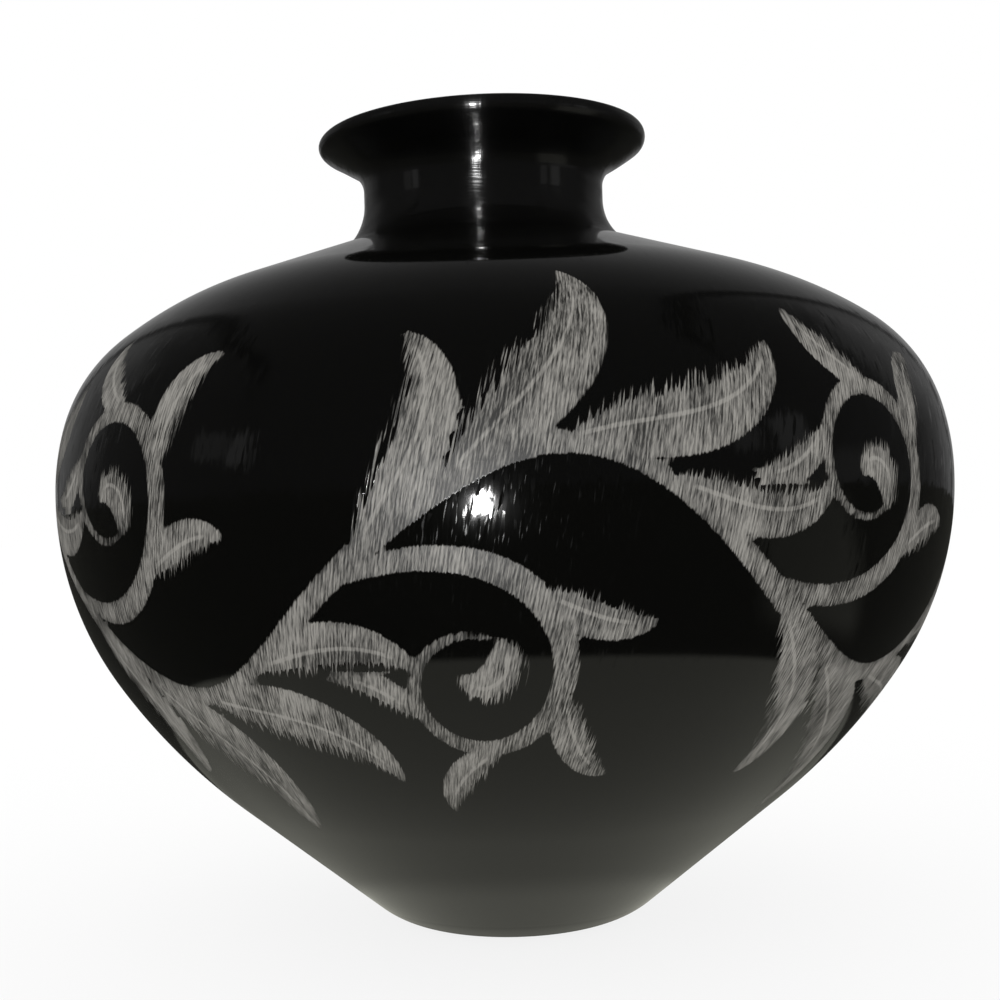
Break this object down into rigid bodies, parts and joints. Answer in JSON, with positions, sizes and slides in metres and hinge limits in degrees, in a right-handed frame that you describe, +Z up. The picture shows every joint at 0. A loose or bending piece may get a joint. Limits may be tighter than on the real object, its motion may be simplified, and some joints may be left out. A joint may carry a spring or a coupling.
{
  "type": "wide-bellied jar",
  "caption": "Black burnished clay jar with a wide belly, flat shoulder, short waisted neck and rolled lip, thrown in sections joined with slip.",
  "frame": {"origin": "centre of the standing face, on the surface that the jar stands on", "axes": "+Z up along the jar's axis of turning; the decorated front faces -Y"},
  "size_m": [0.3, 0.3, 0.2709],
  "materials": {
    "burnished_clay": "burnished to a high gloss",
    "bare_clay": "matte, smoke-blackened",
    "fired_slip": "matte, smoke-blackened"
  },
  "bodies": {
    "root": {"foot_ring": "burnished_clay", "foot_slip": "fired_slip", "lower_bowl": "burnished_clay", "belly_slip": "fired_slip", "belly_seam_coil": "bare_clay", "shoulder_dome": "burnished_clay", "neck_slip": "fired_slip", "neck_collar": "burnished_clay", "neck_seam_coil": "bare_clay", "lip_slip": "fired_slip", "lip_ring": "burnished_clay"}
  },
  "joints": []
}
